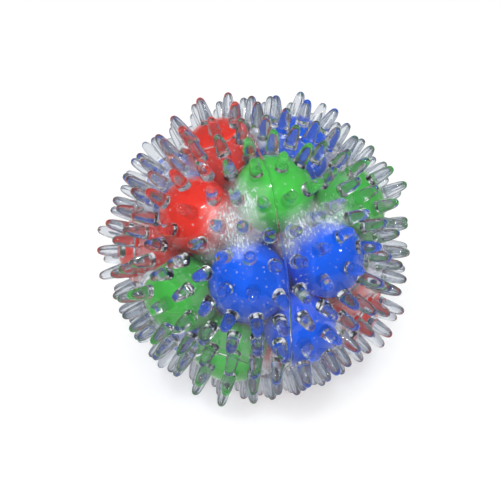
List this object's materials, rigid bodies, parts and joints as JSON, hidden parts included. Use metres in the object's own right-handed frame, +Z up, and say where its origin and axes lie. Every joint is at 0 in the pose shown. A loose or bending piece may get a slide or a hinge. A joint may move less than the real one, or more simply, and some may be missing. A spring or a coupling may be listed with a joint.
{
  "type": "sensory ball",
  "caption": "Clear rubber sensory ball covered in blunt spikes, bonded from two halves and packed with loose red, green and blue balls that roll when it is squeezed.",
  "frame": {"origin": "centre of the ball, on the plane of the bond line between its two halves", "axes": "+Z up as it rests on its spikes, X square to the bond line with +X through the right half, front towards -Y"},
  "size_m": [0.0981, 0.0971, 0.0959],
  "materials": {
    "clear_skin": "clear, glossy, slightly tacky",
    "red_ball": "smooth satin",
    "green_ball": "smooth satin",
    "blue_ball": "smooth satin"
  },
  "bodies": {
    "skin": {"left_skin_half": "clear_skin", "right_skin_half": "clear_skin"},
    "blue_ball_1": {"blue_ball_1": "blue_ball"},
    "blue_ball_2": {"blue_ball_2": "blue_ball"},
    "blue_ball_3": {"blue_ball_3": "blue_ball"},
    "blue_ball_4": {"blue_ball_4": "blue_ball"},
    "blue_ball_5": {"blue_ball_5": "blue_ball"},
    "blue_ball_6": {"blue_ball_6": "blue_ball"},
    "blue_ball_7": {"blue_ball_7": "blue_ball"},
    "green_ball_1": {"green_ball_1": "green_ball"},
    "green_ball_2": {"green_ball_2": "green_ball"},
    "green_ball_3": {"green_ball_3": "green_ball"},
    "green_ball_4": {"green_ball_4": "green_ball"},
    "green_ball_5": {"green_ball_5": "green_ball"},
    "green_ball_6": {"green_ball_6": "green_ball"},
    "green_ball_7": {"green_ball_7": "green_ball"},
    "green_ball_8": {"green_ball_8": "green_ball"},
    "red_ball_1": {"red_ball_1": "red_ball"},
    "red_ball_2": {"red_ball_2": "red_ball"},
    "red_ball_3": {"red_ball_3": "red_ball"},
    "red_ball_4": {"red_ball_4": "red_ball"},
    "red_ball_5": {"red_ball_5": "red_ball"},
    "red_ball_6": {"red_ball_6": "red_ball"},
    "red_ball_7": {"red_ball_7": "red_ball"},
    "core_ball": {"core_ball": "blue_ball"}
  },
  "joints": [
    {"name": "blue_ball_1_roll", "type": "hinge", "parent": "skin", "child": "blue_ball_1", "pos_m": [0.01411, 0.01391, 0.02206], "axis": [-0.7021, 0.712, 0], "continuous": true},
    {"name": "blue_ball_2_roll", "type": "hinge", "parent": "skin", "child": "blue_ball_2", "pos_m": [-0.00878, -0.02413, 0.01483], "axis": [0.9397, -0.342, 0], "continuous": true},
    {"name": "blue_ball_3_roll", "type": "hinge", "parent": "skin", "child": "blue_ball_3", "pos_m": [0.01307, -0.02162, 0.01552], "axis": [0.8558, 0.5173, 0], "continuous": true},
    {"name": "blue_ball_4_roll", "type": "hinge", "parent": "skin", "child": "blue_ball_4", "pos_m": [0.00483, -0.02913, -0.00275], "axis": [0.9865, 0.1636, 0], "continuous": true},
    {"name": "blue_ball_5_roll", "type": "hinge", "parent": "skin", "child": "blue_ball_5", "pos_m": [-0.02026, -0.00498, -0.02107], "axis": [0.2387, -0.9711, 0], "continuous": true},
    {"name": "blue_ball_6_roll", "type": "hinge", "parent": "skin", "child": "blue_ball_6", "pos_m": [-0.01702, 0.02366, 0.00547], "axis": [-0.8117, -0.5841, 0], "continuous": true},
    {"name": "blue_ball_7_roll", "type": "hinge", "parent": "skin", "child": "blue_ball_7", "pos_m": [0.01866, -0.00131, -0.02301], "axis": [0.0699, 0.9976, 0], "continuous": true},
    {"name": "green_ball_1_roll", "type": "hinge", "parent": "skin", "child": "green_ball_1", "pos_m": [0, 0.0107, -0.02766], "axis": [-1, 0, 0], "continuous": true},
    {"name": "green_ball_2_roll", "type": "hinge", "parent": "skin", "child": "green_ball_2", "pos_m": [0.00199, -0.00741, 0.02864], "axis": [0.9657, 0.2596, 0], "continuous": true},
    {"name": "green_ball_3_roll", "type": "hinge", "parent": "skin", "child": "green_ball_3", "pos_m": [0.02529, -0.00299, 0.0152], "axis": [0.1176, 0.9931, 0], "continuous": true},
    {"name": "green_ball_4_roll", "type": "hinge", "parent": "skin", "child": "green_ball_4", "pos_m": [-0.02537, -0.01506, 0.00299], "axis": [0.5103, -0.86, 0], "continuous": true},
    {"name": "green_ball_5_roll", "type": "hinge", "parent": "skin", "child": "green_ball_5", "pos_m": [-0.01327, -0.02334, -0.01259], "axis": [0.8694, -0.4941, 0], "continuous": true},
    {"name": "green_ball_6_roll", "type": "hinge", "parent": "skin", "child": "green_ball_6", "pos_m": [0.02906, 0.00333, -0.00489], "axis": [-0.1139, 0.9935, 0], "continuous": true},
    {"name": "green_ball_7_roll", "type": "hinge", "parent": "skin", "child": "green_ball_7", "pos_m": [-0.01849, 0.01592, -0.01685], "axis": [-0.6526, -0.7577, 0], "continuous": true},
    {"name": "green_ball_8_roll", "type": "hinge", "parent": "skin", "child": "green_ball_8", "pos_m": [0.01464, 0.02547, 0.00406], "axis": [-0.8669, 0.4984, 0], "continuous": true},
    {"name": "red_ball_1_roll", "type": "hinge", "parent": "skin", "child": "red_ball_1", "pos_m": [0, -0.0107, -0.02766], "axis": [1, 0, 0], "continuous": true},
    {"name": "red_ball_2_roll", "type": "hinge", "parent": "skin", "child": "red_ball_2", "pos_m": [-0.00711, 0.01574, 0.02411], "axis": [-0.9112, -0.4119, 0], "continuous": true},
    {"name": "red_ball_3_roll", "type": "hinge", "parent": "skin", "child": "red_ball_3", "pos_m": [-0.01842, -0.00493, 0.02271], "axis": [0.2587, -0.966, 0], "continuous": true},
    {"name": "red_ball_4_roll", "type": "hinge", "parent": "skin", "child": "red_ball_4", "pos_m": [-0.02908, 0.00579, -0.00009], "axis": [-0.1954, -0.9807, 0], "continuous": true},
    {"name": "red_ball_5_roll", "type": "hinge", "parent": "skin", "child": "red_ball_5", "pos_m": [0.0216, -0.01783, -0.00974], "axis": [0.6365, 0.7713, 0], "continuous": true},
    {"name": "red_ball_6_roll", "type": "hinge", "parent": "skin", "child": "red_ball_6", "pos_m": [-0.00201, 0.02815, -0.00911], "axis": [-0.9975, -0.0713, 0], "continuous": true},
    {"name": "red_ball_7_roll", "type": "hinge", "parent": "skin", "child": "red_ball_7", "pos_m": [0.01616, 0.01884, -0.01623], "axis": [-0.7589, 0.6512, 0], "continuous": true},
    {"name": "core_ball_slide", "type": "slide", "parent": "skin", "child": "core_ball", "axis": [0, 0, 1], "range_m": [0, 0.0177]}
  ]
}
